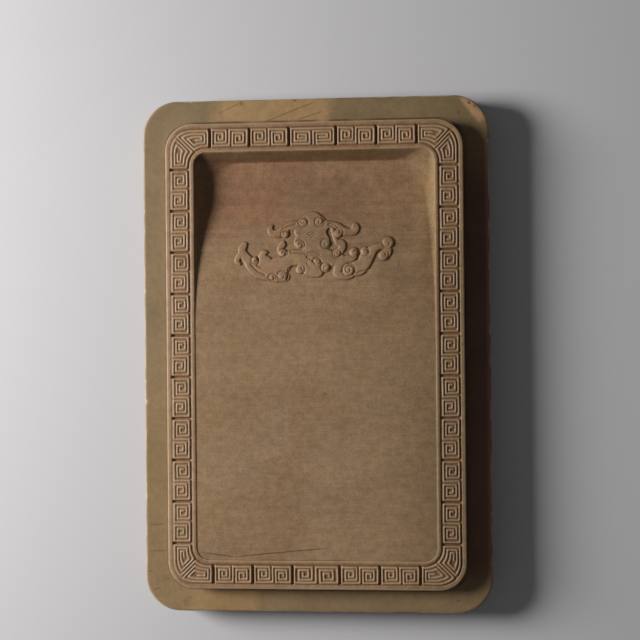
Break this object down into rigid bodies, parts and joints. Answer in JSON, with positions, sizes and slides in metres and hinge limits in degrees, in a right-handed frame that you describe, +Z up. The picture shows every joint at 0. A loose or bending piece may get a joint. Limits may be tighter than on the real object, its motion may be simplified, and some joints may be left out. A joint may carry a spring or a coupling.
{
  "type": "ink stone",
  "caption": "Rectangular carved ink stone with a fret rim and sloping ink pool, seated in a flanged stone base.",
  "frame": {"origin": "middle of the base's underside, on the surface it stands on", "axes": "+X across, +Y towards the ink pool, +Z up"},
  "size_m": [0.1, 0.148, 0.0135],
  "materials": {
    "base_stone": "honed yellow-green stone",
    "ink_stone": "honed brown stone"
  },
  "bodies": {
    "base": {"base": "base_stone"},
    "stone": {"ink_stone": "ink_stone"}
  },
  "joints": [
    {"name": "ink_stone_lift", "type": "slide", "parent": "base", "child": "stone", "axis": [0, 0, 1], "range_m": [0, 0.03]}
  ]
}
